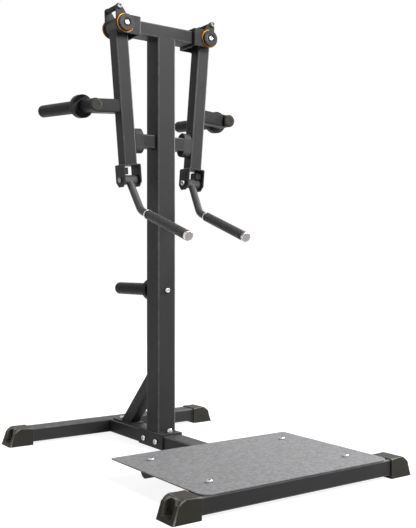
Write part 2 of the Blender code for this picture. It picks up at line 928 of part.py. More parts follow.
def rear_cap(word, rig):
    """Flatter cap on the rear ear, with the same trim ring."""
    start = ear_outer + seam
    end = start + rear_cap_thickness
    edge = (rear_cap_thickness - trim_ring_width) / 2
    bore = shaft_radius + seam
    profile = [
        (bore, start),
        (trim_ring_radius, start),
        (trim_ring_radius, start + trim_ring_width),
        (rear_cap_radius, start + trim_ring_width),
        (rear_cap_radius, end - edge),
        (rear_cap_radius - edge, end),
        (bore, end),
    ]
    finish("pivot_cap_rear_" + word, turned(profile, fine_facets, "Y"), rig, black_plastic())


def arm(word, side, rig):
    """Arm tube, pivot barrel and the two plates of the stop yoke, welded together."""
    tip = stop_pin_place(side)
    outline = two_circles(barrel_radius, tip, yoke_tip_radius)
    half = barrel_length / 2
    cylinder = [(0.0, -half), (barrel_radius, -half), (barrel_radius, half), (0.0, half)]
    made = finish("arm_" + word, turned(cylinder, fine_facets, "Y"), rig, frame_paint())
    shape = square_tube(
        arm_size, arm_size, arm_wall, tube_corner, -arm_length + seam, -barrel_radius / 2, "Z"
    )
    boolean(made, "UNION", tool("arm_tube_" + word, shape, rig))
    overlap = yoke_plate / 4
    for flip, place_word in ((-1, "front"), (1, "rear")):
        shape = prism(outline, flip * (half - overlap), flip * arm_half_width, "Y")
        boolean(made, "UNION", tool(f"yoke_{place_word}_{word}", shape, rig))
    seat = bearing_radius + seam
    depth = arm_half_width - bearing_width - 2 * seam
    far = arm_half_width * 2
    bore = [
        (0.0, -far), (seat, -far), (seat, -depth), (barrel_bore, -depth),
        (barrel_bore, depth), (seat, depth), (seat, far), (0.0, far),
    ]
    boolean(made, "DIFFERENCE", tool("arm_bore_" + word, turned(bore, fine_facets, "Y"), rig))
    cutter = hole(
        "stop_pin_hole_" + word, bolt_radius + seam, -far, far, "Y", (tip[0], tip[1]), rig
    )
    boolean(made, "DIFFERENCE", cutter)
    return made


def stop_pin_place(side):
    out = side * stop_pin_distance * math.sin(stop_pin_angle)
    return (out, stop_pin_distance * math.cos(stop_pin_angle))


def two_circles(radius, tip, tip_radius):
    """Outline of a plate round the pivot that narrows to a rounded tip."""
    distance = math.hypot(*tip)
    direction = math.atan2(tip[1], tip[0])
    spread = math.acos((radius - tip_radius) / distance)
    around = arc(0.0, 0.0, radius, direction + spread, direction + 2 * math.pi - spread, 14)
    end = arc(tip[0], tip[1], tip_radius, direction - spread, direction + spread, 7)
    return around + end


def bearings(word, rig):
    far = arm_half_width - seam
    near = far - bearing_width
    edge = 0.001
    bore = shaft_radius + seam
    profile = [
        (bore, near), (bearing_radius, near), (bearing_radius, far - edge),
        (bearing_radius - edge, far), (bore, far),
    ]
    for flip, place_word in ((-1, "front"), (1, "rear")):
        shape = turned(profile, rod_facets, "Y", (0.0, 0.0), flip)
        finish(f"bearing_{place_word}_{word}", shape, rig, bright_steel())


def stop_pin(word, side, rig):
    centre = stop_pin_place(side)
    face = arm_half_width + seam
    profile = bolt_profile(
        bolt_head_radius, bolt_head_height, bolt_radius, 2 * face, bolt_head_height
    )
    bolt("stop_bolt_" + word, profile, "Y", centre, -face, -1, rig)
    inner = bolt_radius + seam
    half = barrel_length / 2 - yoke_plate / 4 - seam
    edge = stop_sleeve_radius * 0.15
    profile = [
        (inner, -half), (stop_sleeve_radius - edge, -half), (stop_sleeve_radius, -half + edge),
        (stop_sleeve_radius, half - edge), (stop_sleeve_radius - edge, half), (inner, half),
    ]
    finish("stop_sleeve_" + word, turned(profile, rod_facets, "Y", centre), rig, rubber())


def weight_horn(word, side, rig):
    """Square tube out of the arm and the round horn across its end, welded together."""
    turn = (horn_rise, 0.0, -side * horn_toe)
    axis = empty("horn_axis_" + word, (side * horn_offset, 0.0, -horn_drop), rig, turn)
    front = -horn_front + end_cap_thickness
    rear = horn_rear - end_cap_thickness
    profile = [(0.0, front)] + horn_profile(front, rear, collar_y) + [(0.0, rear)]
    made = finish("weight_horn_" + word, turned(profile, fine_facets, "Y"), axis, frame_paint())
    start = side * (arm_size / 2 + seam)
    shape = square_tube(
        horn_bracket_size, horn_bracket_size, arm_wall, tube_corner, start, side * horn_offset,
        "X", (0.0, -horn_drop - horn_bracket_drop),
    )
    boolean(made, "UNION", tool("horn_bracket_" + word, shape, rig))
    bore = horn_radius - horn_wall
    profile = [(0.0, -horn_rear), (bore, -horn_rear), (bore, 2 * horn_rear), (0.0, 2 * horn_rear)]
    boolean(made, "DIFFERENCE", tool("horn_bore_" + word, turned(profile, fine_facets, "Y"), axis))
    end_cap("horn_front_cap_" + word, front, -1, axis, foot_plastic())
    end_cap("horn_rear_cap_" + word, rear, 1, axis, black_plastic())


def handle_fork(word, side, rig):
    """Bent plate under the arm with two cheeks for the pin, and a block that stops the rod."""
    half = fork_depth / 2
    top = -arm_length
    bottom = top - fork_height
    outline = [
        (half, top), (-half, top), (-half, bottom + fork_chamfer),
        (-half + fork_chamfer, bottom), (half - fork_chamfer, bottom),
        (half, bottom + fork_chamfer),
    ]
    shape = prism(outline, -fork_width / 2, fork_width / 2, "X")
    bends = [
        edge for edge in shape.edges
        if min(vertex.co.z for vertex in edge.verts) > top - 0.001
        and abs(edge.verts[0].co.y - edge.verts[1].co.y) > 0.001
    ]
    bmesh.ops.bevel(shape, geom=bends, offset=fork_bend, segments=3, profile=0.5, affect="EDGES")
    made = finish("handle_fork_" + word, shape, rig, frame_paint())
    size = (fork_width - 2 * fork_plate, 2 * fork_depth, fork_height)
    middle = (0.0, 0.0, top - fork_plate - fork_height / 2)
    boolean(made, "DIFFERENCE", tool("fork_void_" + word, block(size, middle), rig))
    cutter = hole(
        "fork_hole_" + word, bolt_radius + seam, -fork_width, fork_width, "X",
        (0.0, fork_pin_z), rig,
    )
    boolean(made, "DIFFERENCE", cutter)
    boolean(made, "UNION", tool("fork_block_" + word, fork_block(side), rig))
    return made


def fork_block(side):
    """Block on the outer cheek's inside, above the handle's barrel."""
    overlap = fork_plate / 2
    low = fork_pin_z + handle_barrel_radius + fork_block_gap
    size = (fork_block_width + overlap, fork_block_depth, fork_block_height)
    outer = fork_width / 2 - fork_plate + overlap
    middle = (
        side * (outer - size[0] / 2), fork_block_back - fork_block_depth / 2,
        low + fork_block_height / 2,
    )
    return block(size, middle)


def handle_path():
    """Centre line of the handle's rod, from its pin to the end of the grip."""
    corner = (-handle_forward, -handle_drop)
    first = math.atan2(corner[1], corner[0])
    last = math.atan2(grip_direction[1], grip_direction[0])
    bend = first - last
    setback = handle_bend_radius * math.tan(abs(bend) / 2)
    begin = (corner[0] - setback * math.cos(first), corner[1] - setback * math.sin(first))
    sign = -1 if bend > 0 else 1
    centre = (
        begin[0] - sign * handle_bend_radius * math.sin(first),
        begin[1] + sign * handle_bend_radius * math.cos(first),
    )
    start_angle = math.atan2(begin[1] - centre[1], begin[0] - centre[0])
    bent = arc(centre[0], centre[1], handle_bend_radius, start_angle, start_angle - bend, 6)
    reach = grip_start + grip_ring_width + grip_length + grip_cap_socket
    end = (corner[0] + reach * grip_direction[0], corner[1] + reach * grip_direction[1])
    return [(0.0, 0.0)] + bent + [end]


def handle(word, rig):
    """Bent rod welded to a barrel on the fork's pin, with its grip, ring and end cap."""
    half = fork_width / 2 - fork_plate - running_gap / 2
    radius = handle_barrel_radius
    barrel = [(0.0, -half), (radius, -half), (radius, half), (0.0, half)]
    made = finish("handle_rod_" + word, turned(barrel, rod_facets, "X"), rig, frame_paint())
    rod = rod_along(handle_path(), handle_rod_radius, rod_facets)
    boolean(made, "UNION", tool("rod_" + word, rod, rig))
    cutter = hole(
        "handle_bore_" + word, bolt_radius + seam, -fork_width, fork_width, "X", (0.0, 0.0), rig
    )
    boolean(made, "DIFFERENCE", cutter)
    start_y = -handle_forward + grip_start * grip_direction[0]
    start_z = -handle_drop + grip_start * grip_direction[1]
    grip_rig = empty("grip_axis_" + word, (0.0, start_y, start_z), rig, (grip_slope, 0.0, 0.0))
    bore = handle_rod_radius + seam
    soft = grip_radius * 0.12
    profile = [
        (bore, 0.0), (grip_radius, 0.0), (grip_radius + 0.0005, grip_ring_width * 0.3),
        (grip_radius + 0.0005, grip_ring_width * 0.8), (grip_radius, grip_ring_width),
        (bore, grip_ring_width),
    ]
    shape = turned(profile, fine_facets, "Y", (0.0, 0.0), -1)
    finish("grip_ring_" + word, shape, grip_rig, chrome())
    near = grip_ring_width + seam
    far = grip_ring_width + grip_length - seam
    profile = [
        (bore, near), (grip_radius - soft, near), (grip_radius, near + soft),
        (grip_radius, far - soft), (grip_radius - soft, far), (bore, far),
    ]
    shape = turned(profile, fine_facets, "Y", (0.0, 0.0), -1)
    finish("grip_" + word, shape, grip_rig, rubber())
    near = far + seam
    depth = near + grip_cap_socket + seam
    far = near + grip_cap_thickness
    rim = grip_cap_thickness * 0.2
    profile = [
        (0.0, depth), (bore, depth), (bore, near), (grip_radius, near),
        (grip_radius, far - rim), (grip_radius - rim, far), (0.0, far),
    ]
    shape = turned(profile, fine_facets, "Y", (0.0, 0.0), -1)
    finish("grip_cap_" + word, shape, grip_rig, chrome())


def handle_bolt(word, side, rig):
    """Pin of the handle: its head is on the cheek next to the column."""
    face = fork_width / 2 + seam
    profile = bolt_profile(
        bolt_head_radius, bolt_head_height, bolt_radius, 2 * face, bolt_head_height
    )
    seat = -side * face
    bolt("handle_bolt_" + word, profile, "X", (0.0, fork_pin_z), seat, -side, rig)


def stop_pad(word, side, rig):
    """Rubber pad with round ends that the arm rests on; it lies along the leaning arm."""
    straight = stop_pad_height / 2 - stop_pad_depth / 2
    radius = stop_pad_depth / 2
    outline = arc(0.0, -stop_pad_drop + straight, radius, 0.0, math.pi, 12)
    outline += arc(0.0, -stop_pad_drop - straight, radius, math.pi, 2 * math.pi, 12)
    near = -side * (arm_size / 2 + seam)
    far = -side * (arm_size / 2 + seam + stop_pad_thickness)
    shape = prism(outline, near, far, "X")
    rims = [edge for edge in shape.edges if abs(edge.verts[0].co.x - edge.verts[1].co.x) < 0.001]
    bmesh.ops.bevel(shape, geom=rims, offset=stop_pad_edge, segments=1, profile=0.5, affect="EDGES")
    finish("stop_pad_" + word, shape, rig, rubber())


def build():
    clear_scene()
    base = empty("column_axis", (0.0, column_y, 0.0))
    front_cross_tube(base)
    cross_tube("rear_cross_tube", rear_tube_y, base)
    base_beam(base)
    column(base)
    brace(base)
    platform(base)
    base_bolts(base)
    for side, word in ((-1, "left"), (1, "right")):
        foot("foot_front_" + word, side, front_tube_y, base)
        foot("foot_rear_" + word, side, rear_tube_y, base)
    storage_horn(base)
    crossbar(base)
    for side, word in ((-1, "left"), (1, "right")):
        place_of_pivot = (side * pivot_x, 0.0, pivot_z)
        fixed = empty("pivot_axis_" + word, place_of_pivot, base)
        leaning = empty("rest_axis_" + word, place_of_pivot, base, (0.0, side * hang_angle, 0.0))
        moving = empty("arm_axis_" + word, place_of_pivot, base, (0.0, side * hang_angle, 0.0))
        swinging = empty("handle_axis_" + word, (0.0, 0.0, fork_pin_z), moving)
        pivot_bracket(word, side, fixed)
        pivot_shaft(word, fixed)
        front_cap(word, fixed)
        rear_cap(word, fixed)
        stop_pad(word, side, leaning)
        arm(word, side, moving)
        bearings(word, moving)
        stop_pin(word, side, moving)
        weight_horn(word, side, moving)
        handle_fork(word, side, moving)
        handle_bolt(word, side, moving)
        handle(word, swinging)


build()
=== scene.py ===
import json
import math

import bmesh
import bpy
from mathutils import Euler, Matrix, Vector

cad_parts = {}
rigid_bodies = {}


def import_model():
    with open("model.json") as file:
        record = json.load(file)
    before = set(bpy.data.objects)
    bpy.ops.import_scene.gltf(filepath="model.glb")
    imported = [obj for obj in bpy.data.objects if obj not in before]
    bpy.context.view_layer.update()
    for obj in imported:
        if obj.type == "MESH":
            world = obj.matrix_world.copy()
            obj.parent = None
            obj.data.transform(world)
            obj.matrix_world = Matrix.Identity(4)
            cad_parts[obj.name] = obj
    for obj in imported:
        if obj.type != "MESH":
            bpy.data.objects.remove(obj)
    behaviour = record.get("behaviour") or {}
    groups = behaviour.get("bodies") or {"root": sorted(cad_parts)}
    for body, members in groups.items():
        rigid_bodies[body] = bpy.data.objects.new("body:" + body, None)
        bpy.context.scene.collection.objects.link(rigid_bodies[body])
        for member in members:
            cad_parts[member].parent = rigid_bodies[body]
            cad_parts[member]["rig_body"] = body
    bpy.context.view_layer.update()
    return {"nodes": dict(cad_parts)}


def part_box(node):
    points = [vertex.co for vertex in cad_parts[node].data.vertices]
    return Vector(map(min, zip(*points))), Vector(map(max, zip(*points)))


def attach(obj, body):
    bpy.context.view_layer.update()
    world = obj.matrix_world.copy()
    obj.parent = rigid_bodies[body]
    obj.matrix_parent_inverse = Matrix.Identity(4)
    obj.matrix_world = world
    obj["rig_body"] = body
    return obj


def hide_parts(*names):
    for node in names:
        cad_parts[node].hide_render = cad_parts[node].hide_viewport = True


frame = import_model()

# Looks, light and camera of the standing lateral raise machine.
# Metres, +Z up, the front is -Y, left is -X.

# Places and sizes repeated from the solids
seam = 0.0003
column_y = 0.199
column_width = 0.0778
column_depth = 0.0868
base_top = 0.0623
saddle_plate = 0.006
pivot_x = 0.1854
pivot_z = 1.5725
crossbar_height = 0.050
hang_angle = math.radians(4.7)
barrel_radius = 0.030
barrel_length = 0.080
yoke_plate = 0.006
ear_outer = barrel_length / 2 + yoke_plate + 0.001 + 0.008
shaft_radius = 0.010
shaft_head_radius = 0.0095
shaft_head_height = 0.006
cap_radius = 0.0315
cap_thickness = 0.0135
cap_recess = 0.004
cap_recess_radius = 0.0135
rear_cap_radius = 0.029
rear_cap_thickness = 0.007
trim_radius = 0.0345
trim_width = 0.0035
arm_size = 0.053
arm_length = 0.506
horn_rise = math.radians(5.0)
horn_toe = math.radians(3.0)
horn_offset = 0.136
horn_drop = 0.2915
horn_radius = 0.024
horn_front = 0.043
horn_rear = 0.368
horn_bracket = 0.049
horn_bracket_drop = 0.002
collar_thickness = 0.024
collar_y = 0.054
end_cap = 0.009
storage_z = 0.601
storage_length = 0.269
fork_width = 0.073
fork_pin_z = -arm_length - 0.057
rod_radius = 0.014
handle_forward = 0.072
handle_drop = 0.118
grip_slope = math.radians(18.6)
grip_start = 0.045
grip_radius = 0.0175
grip_length = 0.256
grip_ring = 0.006
grip_cap = 0.011
bolt_radius = 0.006
bolt_head_radius = 0.0105
bolt_head_height = 0.008
tall_head_height = 0.0155
cap_nut = 0.009
platform_bolt_radius = 0.005

# Fineness of the shown pieces
round_facets = 72
bolt_facets = 48
smooth_angle = math.radians(35.0)
crease_angle = math.radians(50.0)
tight_radius = 0.008
wide_radius = 0.011
merge_distance = 0.00002
tread_pitch = 0.011
edge_rounding = 0.0006
weld_size = 0.0022
collar_weld_size = 0.0018
yoke_weld_size = 0.0016
weld_corner = 0.006

# Colours of more than one material
frame_colour = (0.048, 0.048, 0.049)
horn_colour = (0.008, 0.008, 0.0083)
foot_colour = (0.038, 0.035, 0.028)

# Place of the camera, its turn about Z and its lens in millimetres
camera_place = (-1.6434, -2.4470, 0.69974)
camera_turn = math.radians(-35.14)
camera_lens = 55.74

sides = ((-1, "left"), (1, "right"))


# Materials

def blank_material(name, colour, roughness, metallic=0.0, specular=0.5):
    item = bpy.data.materials.new(name)
    item.use_nodes = True
    shader = item.node_tree.nodes["Principled BSDF"]
    shader.inputs["Base Color"].default_value = (*colour, 1.0)
    shader.inputs["Roughness"].default_value = roughness
    shader.inputs["Metallic"].default_value = metallic
    shader.inputs["Specular IOR Level"].default_value = specular
    return item


def give(item, socket, value):
    """Sets a socket to a number or a tuple, or joins it to another node's output."""
    if isinstance(value, bpy.types.NodeSocket):
        item.node_tree.links.new(value, socket)
    else:
        socket.default_value = value


def calc(item, operation, *values):
    node = item.node_tree.nodes.new("ShaderNodeMath")
    node.operation = operation
    for socket, value in zip(node.inputs, values):
        give(item, socket, value)
    return node.outputs[0]


def place_in_piece(item):
    return item.node_tree.nodes.new("ShaderNodeTexCoord").outputs["Object"]


def split(item, vector):
    node = item.node_tree.nodes.new("ShaderNodeSeparateXYZ")
    give(item, node.inputs[0], vector)
    return node.outputs[0], node.outputs[1], node.outputs[2]


def noise(item, scale, detail):
    node = item.node_tree.nodes.new("ShaderNodeTexNoise")
    give(item, node.inputs["Vector"], place_in_piece(item))
    node.inputs["Scale"].default_value = scale
    node.inputs["Detail"].default_value = detail
    return node.outputs["Fac"]


def ramp(item, value, from_low, from_high, to_low, to_high):
    node = item.node_tree.nodes.new("ShaderNodeMapRange")
    for name, part in (
        ("Value", value), ("From Min", from_low), ("From Max", from_high),
        ("To Min", to_low), ("To Max", to_high),
    ):
        give(item, node.inputs[name], part)
    return node.outputs["Result"]


def blend_colours(item, share, first, second):
    node = item.node_tree.nodes.new("ShaderNodeMix")
    node.data_type = "RGBA"
    give(item, node.inputs[0], share)
    for socket, colour in zip([s for s in node.inputs if s.type == "RGBA"], (first, second)):
        give(item, socket, colour if isinstance(colour, bpy.types.NodeSocket) else (*colour, 1.0))
    return [s for s in node.outputs if s.type == "RGBA"][0]


def to_shader(item, name, value):
    give(item, item.node_tree.nodes["Principled BSDF"].inputs[name], value)


def relief(item, height, distance, strength):
    node = item.node_tree.nodes.new("ShaderNodeBump")
    give(item, node.inputs["Height"], height)
    node.inputs["Distance"].default_value = distance
    node.inputs["Strength"].default_value = strength
    to_shader(item, "Normal", node.outputs["Normal"])


def shade(colour, factor):
    return tuple(part * factor for part in colour)


def edge_highlight_tone(colour, gain):
    """A lighter and greyer version of a colour, for the painted highlights along its edges."""
    grey = sum(colour) / 3
    return tuple((part + 2 * grey) / 3 * gain for part in colour)


def paint_edge_highlights(item, body_colour, highlight_colour):
    """Painted highlights: a lighter tone along the piece's turned edges, stronger in some places than in
    others.
    """
    node = item.node_tree.nodes.new("ShaderNodeAttribute")
    node.attribute_name = "painted_edge_highlight"
    patchy = ramp(item, noise(item, 35.0, 3.0), 0.35, 0.65, 0.6, 1.0)
    share = calc(item, "MULTIPLY", node.outputs["Fac"], patchy)
    return blend_colours(item, share, body_colour, highlight_colour)


def mount_share(item):
    """1 on a weight horn's bracket and collar, 0 on its stub and on the stretch that holds the plates."""
    bracket_reach = 0.026
    horn_inner_side = 0.272
    x, y, _ = split(item, place_in_piece(item))
    back = calc(item, "SUBTRACT", y, column_y)
    level = calc(item, "ABSOLUTE", back)
    level = ramp(item, level, bracket_reach, bracket_reach + 0.003, 1.0, 0.0)
    inward = calc(item, "ABSOLUTE", x)
    inward = ramp(item, inward, horn_inner_side, horn_inner_side + 0.004, 1.0, 0.0)
    past = calc(item, "GREATER_THAN", back, collar_y - 0.003)
    before = calc(item, "LESS_THAN", back, collar_y + collar_thickness)
    bracket = calc(item, "MULTIPLY", level, inward)
    return calc(item, "MAXIMUM", bracket, calc(item, "MULTIPLY", past, before))


def powder_coat(name, colour, roughness, specular, highlight_gain, frame_share=None):
    """Satin powder coat: a slow drift of tone, thin painted highlights along the edges and a fine
    orange-peel skin.
    """
    item = blank_material(name, colour, roughness, specular=specular)
    drift = blend_colours(item, noise(item, 6.0, 3.0), shade(colour, 0.88), shade(colour, 1.12))
    if frame_share:
        drift = blend_colours(item, frame_share(item), drift, frame_colour)
    to_shader(item, "Base Color", paint_edge_highlights(item, drift, edge_highlight_tone(colour, highlight_gain)))
    haze = ramp(item, noise(item, 45.0, 4.0), 0.3, 0.7, roughness - 0.05, roughness + 0.06)
    to_shader(item, "Roughness", haze)
    relief(item, noise(item, 650.0, 3.0), 0.00015, 0.6)
    return item


def hollow_share(item, reach):
    """1 deep in the piece's own hollows, 0 in the open; the reach is how far a wall still counts."""
    hollow = item.node_tree.nodes.new("ShaderNodeAmbientOcclusion")
    hollow.samples = 8
    hollow.only_local = True
    hollow.inputs["Distance"].default_value = reach
    return ramp(item, hollow.outputs["AO"], 0.75, 0.35, 0.0, 1.0)


def moulded(name, colour, roughness, grain, specular, highlight_gain, fill_light_reach=0.0):
    """Moulded plastic or rubber with an eroded grain, painted highlights along its edges, and painted fill
    light, a paler tone in its hollows, if asked.
    """
    item = blank_material(name, colour, roughness, specular=specular)
    drift = blend_colours(item, noise(item, 30.0, 4.0), shade(colour, 0.85), shade(colour, 1.15))
    # Painted fill light: the piece's own hollows are made up to six times paler.
    if fill_light_reach:
        drift = blend_colours(item, hollow_share(item, fill_light_reach), drift, shade(colour, 6.0))
    to_shader(item, "Base Color", paint_edge_highlights(item, drift, edge_highlight_tone(colour, highlight_gain)))
    haze = ramp(item, noise(item, 150.0, 2.0), 0.3, 0.7, roughness - 0.06, roughness + 0.06)
    to_shader(item, "Roughness", haze)
    relief(item, noise(item, 1400.0, 2.0), grain, 0.8)
    return item


def metal(name, colour, roughness):
    """Plated or anodised metal with faint haze and a fine uneven skin."""
    item = blank_material(name, colour, roughness, metallic=1.0)
    to_shader(item, "Base Color", blend_colours(item, noise(item, 60.0, 3.0), shade(colour, 0.9), colour))
    haze = ramp(item, noise(item, 400.0, 3.0), 0.3, 0.7, roughness * 0.75, roughness * 1.3)
    to_shader(item, "Roughness", haze)
    relief(item, noise(item, 900.0, 2.0), 0.00003, 0.4)
    return item


def tread_height(item):
    """Raised bars in two directions by turns, as on rolled tread plate, from 0 to 1."""
    across, along, _ = split(item, place_in_piece(item))
    cells = [calc(item, "DIVIDE", part, tread_pitch) for part in (across, along)]
    floors = [calc(item, "FLOOR", part) for part in cells]
    parity = calc(item, "FLOORED_MODULO", calc(item, "ADD", *floors), 2.0)
    flip = ramp(item, parity, 0.0, 1.0, 1.0, -1.0)
    u, v = [calc(item, "SUBTRACT", calc(item, "SUBTRACT", c, f), 0.5) for c, f in zip(cells, floors)]
    v = calc(item, "MULTIPLY", v, flip)
    long_way = calc(item, "MULTIPLY", calc(item, "ADD", u, v), 1.45)
    short_way = calc(item, "MULTIPLY", calc(item, "SUBTRACT", u, v), 3.4)
    squares = [calc(item, "POWER", part, 2.0) for part in (long_way, short_way)]
    reach = calc(item, "SQRT", calc(item, "ADD", *squares))
    node = item.node_tree.nodes.new("ShaderNodeMapRange")
    node.interpolation_type = "SMOOTHSTEP"
    give(item, node.inputs["Value"], reach)
    for name, part in (("From Min", 0.75), ("From Max", 1.1), ("To Min", 1.0), ("To Max", 0.0)):
        node.inputs[name].default_value = part
    return node.outputs["Result"]


def cell_tone(item, size):
    """A tone of its own for each small square of the surface."""
    snap = item.node_tree.nodes.new("ShaderNodeVectorMath")
    snap.operation = "SNAP"
    give(item, snap.inputs[0], place_in_piece(item))
    snap.inputs[1].default_value = (size, size, 1.0)
    node = item.node_tree.nodes.new("ShaderNodeTexWhiteNoise")
    give(item, node.inputs["Vector"], snap.outputs[0])
    return node.outputs["Value"]


def tread_plate(name, colour, roughness):
    """Grey coat over a fine raised tread, with a speckle of lighter and darker bars."""
    item = blank_material(name, colour, roughness, specular=0.1)
    bars = tread_height(item)
    speckle = blend_colours(item, cell_tone(item, tread_pitch), shade(colour, 0.72), shade(colour, 1.28))
    drift = blend_colours(item, noise(item, 9.0, 4.0), shade(colour, 0.94), shade(colour, 1.06))
    ground = blend_colours(item, 0.6, drift, speckle)
    body = blend_colours(item, calc(item, "MULTIPLY", bars, 0.35), ground, shade(colour, 1.4))
    # Painted highlight along the plate's turned edges.
    to_shader(item, "Base Color", paint_edge_highlights(item, body, shade(colour, 1.9)))
    to_shader(item, "Roughness", ramp(item, bars, 0.0, 1.0, roughness + 0.08, roughness - 0.04))
    grain = calc(item, "MULTIPLY", noise(item, 900.0, 2.0), 0.15)
    relief(item, calc(item, "ADD", bars, grain), 0.0005, 0.8)
    return item


def grip_rubber(name, colour, roughness):
    """Hand grip with a fine diamond relief that winds round the piece's own axis."""
    item = blank_material(name, colour, roughness, specular=0.2)
    x, y, z = split(item, place_in_piece(item))
    turn = calc(item, "MULTIPLY", calc(item, "ARCTAN2", y, x), 14.0)
    climb = calc(item, "MULTIPLY", z, 14.0 / grip_radius)
    one = calc(item, "ABSOLUTE", calc(item, "SINE", calc(item, "ADD", turn, climb)))
    other = calc(item, "ABSOLUTE", calc(item, "SINE", calc(item, "SUBTRACT", turn, climb)))
    diamonds = calc(item, "MULTIPLY", one, other)
    # Painted shade and highlight of the relief: the grooves between the diamonds are darker, their tops
    # lighter.
    relief_shading = calc(item, "MULTIPLY", diamonds, ramp(item, noise(item, 120.0, 3.0), 0.3, 0.7, 0.6, 1.0))
    to_shader(item, "Base Color", blend_colours(item, relief_shading, shade(colour, 0.55), shade(colour, 1.7)))
    haze = ramp(item, noise(item, 200.0, 2.0), 0.3, 0.7, roughness - 0.07, roughness + 0.05)
    to_shader(item, "Roughness", haze)
    relief(item, diamonds, 0.0005, 0.9)
    return item


# Each coat and moulding has a gain for its painted edge highlights; the foot moulding also paints fill
# light into its hollows.
frame_paint = powder_coat("frame_powder_coat", frame_colour, 0.42, 0.10, 3.8)
storage_paint = powder_coat("storage_powder_coat", horn_colour, 0.38, 0.06, 5.0)
horn_paint = powder_coat("horn_powder_coat", horn_colour, 0.38, 0.06, 5.0, mount_share)
handle_paint = powder_coat("handle_powder_coat", (0.105, 0.105, 0.108), 0.36, 0.20, 1.4)
foot_plastic = moulded("foot_moulding", foot_colour, 0.50, 0.0003, 0.15, 11.0, 0.07)
horn_plug = moulded("horn_plug_moulding", foot_colour, 0.50, 0.0003, 0.15, 1.5)
cap_plastic = moulded("cap_moulding", (0.026, 0.026, 0.027), 0.38, 0.0001, 0.20, 2.4)
pad_rubber = moulded("pad_rubber", (0.060, 0.060, 0.061), 0.70, 0.0003, 0.15, 1.6)
soft_grip = grip_rubber("grip_rubber", (0.096, 0.096, 0.098), 0.50)
bright_steel = metal("zinc_plate", (0.60, 0.60, 0.61), 0.22)
dull_steel = metal("dull_zinc", (0.20, 0.20, 0.20), 0.42)
grey_steel = metal("grey_zinc", (0.24, 0.24, 0.24), 0.34)
chrome = metal("chrome_plate", (0.66, 0.65, 0.65), 0.18)
satin_chrome = metal("satin_chrome", (0.30, 0.28, 0.27), 0.40)
gold_trim = metal("gold_anodised", (0.50, 0.205, 0.018), 0.44)
platform_coat = tread_plate("platform_coat", (0.235, 0.235, 0.24), 0.52)

slot_looks = {
    "frame_paint": frame_paint,
    "platform_paint": platform_coat,
    "foot_plastic": foot_plastic,
    "black_plastic": cap_plastic,
    "rubber": pad_rubber,
    "bright_steel": bright_steel,
    "chrome": chrome,
}


# Pieces

def show(piece, body, nodes=()):
    """Links a piece to its body and hides the nodes it stands for."""
    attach(piece, body)
    if nodes:
        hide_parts(*nodes)
    return piece


def keep_flat_faces_flat(piece):
    weighted = piece.modifiers.new("flat_faces", "WEIGHTED_NORMAL")
    weighted.keep_sharp = True
    weighted.weight = 80


def mark_edge_highlights(mesh, most=1.0):
    """Stores the share of painted edge highlight: most where the surface turns tightly, 0 on flat and wide
    faces.
    """
    count = len(mesh.vertices)
    widest = [0.0] * count
    normals = [[] for _ in range(count)]
    for face in mesh.polygons:
        corners = [mesh.vertices[number].co for number in face.vertices]
        longest = max((b - a).length for a, b in zip(corners, corners[1:] + corners[:1]))
        for number in face.vertices:
            widest[number] = max(widest[number], face.area / max(longest, 1e-9))
            normals[number].append(face.normal)
    stored = mesh.attributes.new("painted_edge_highlight", "FLOAT", "POINT")
    for number in range(count):
        turn = max((a.angle(b, 0.0) for a in normals[number] for b in normals[number]), default=0.0)
        radius = widest[number] / max(turn, 0.001)
        share = (wide_radius - radius) / (wide_radius - tight_radius)
        stored.data[number].value = most * min(1.0, max(0.0, share))


def dressed(name, look, highlight_share):
    """A copy of a CAD node, with joined corners, rounded edges, smooth round faces and a share of painted
    edge highlight.
    """
    node = frame["nodes"][name]
    slot_name = node.data.materials[0].name.split(".")[0]
    shape = bmesh.new()
    shape.from_mesh(node.data)
    bmesh.ops.remove_doubles(shape, verts=shape.verts, dist=merge_distance)
    bmesh.ops.dissolve_limit(
        shape, angle_limit=math.radians(0.5), verts=shape.verts, edges=shape.edges
    )
    creases = [line for line in shape.edges if line.calc_face_angle(0.0) > crease_angle]
    bmesh.ops.bevel(
        shape, geom=creases, offset=edge_rounding, segments=2, profile=0.5, affect="EDGES",
        clamp_overlap=True,
    )
    mesh = bpy.data.meshes.new(name + "_shown")
    shape.to_mesh(mesh)
    shape.free()
    mark_edge_highlights(mesh, highlight_share)
    piece = bpy.data.objects.new(name + "_shown", mesh)
    bpy.context.scene.collection.objects.link(piece)
    mesh.materials.append(look or slot_looks[slot_name])
    mesh.shade_smooth()
    mesh.set_sharp_from_angle(angle=smooth_angle)
    keep_flat_faces_flat(piece)
    return show(piece, node["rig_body"], [name])


def moved(x=0.0, y=0.0, z=0.0):
    return Matrix.Translation((x, y, z))


def swung(angle, axis):
    return Matrix.Rotation(angle, 4, axis)


base_frame = moved(y=column_y)
storage_frame = base_frame @ moved(z=storage_z)


def pivot_frame(side):
    return base_frame @ moved(x=side * pivot_x, z=pivot_z)


def arm_frame(side):
    return pivot_frame(side) @ swung(side * hang_angle, "Y")


def horn_frame(side):
    turn = Euler((horn_rise, 0.0, -side * horn_toe)).to_matrix().to_4x4()
    return arm_frame(side) @ moved(x=side * horn_offset, z=-horn_drop) @ turn


def grip_frame(side):
    y = -handle_forward - grip_start * math.cos(grip_slope)
    z = fork_pin_z - handle_drop - grip_start * math.sin(grip_slope)
    return arm_frame(side) @ moved(y=y, z=z) @ swung(grip_slope, "X")


def facing(frame_there, way):
    """The same place with its Z turned to one of the frame's own axes, such as "-Y"."""
    turns = {
        "X": swung(math.pi / 2, "Y"), "-X": swung(-math.pi / 2, "Y"),
        "Y": swung(-math.pi / 2, "X"), "-Y": swung(math.pi / 2, "X"),
    }
    return frame_there @ turns[way]


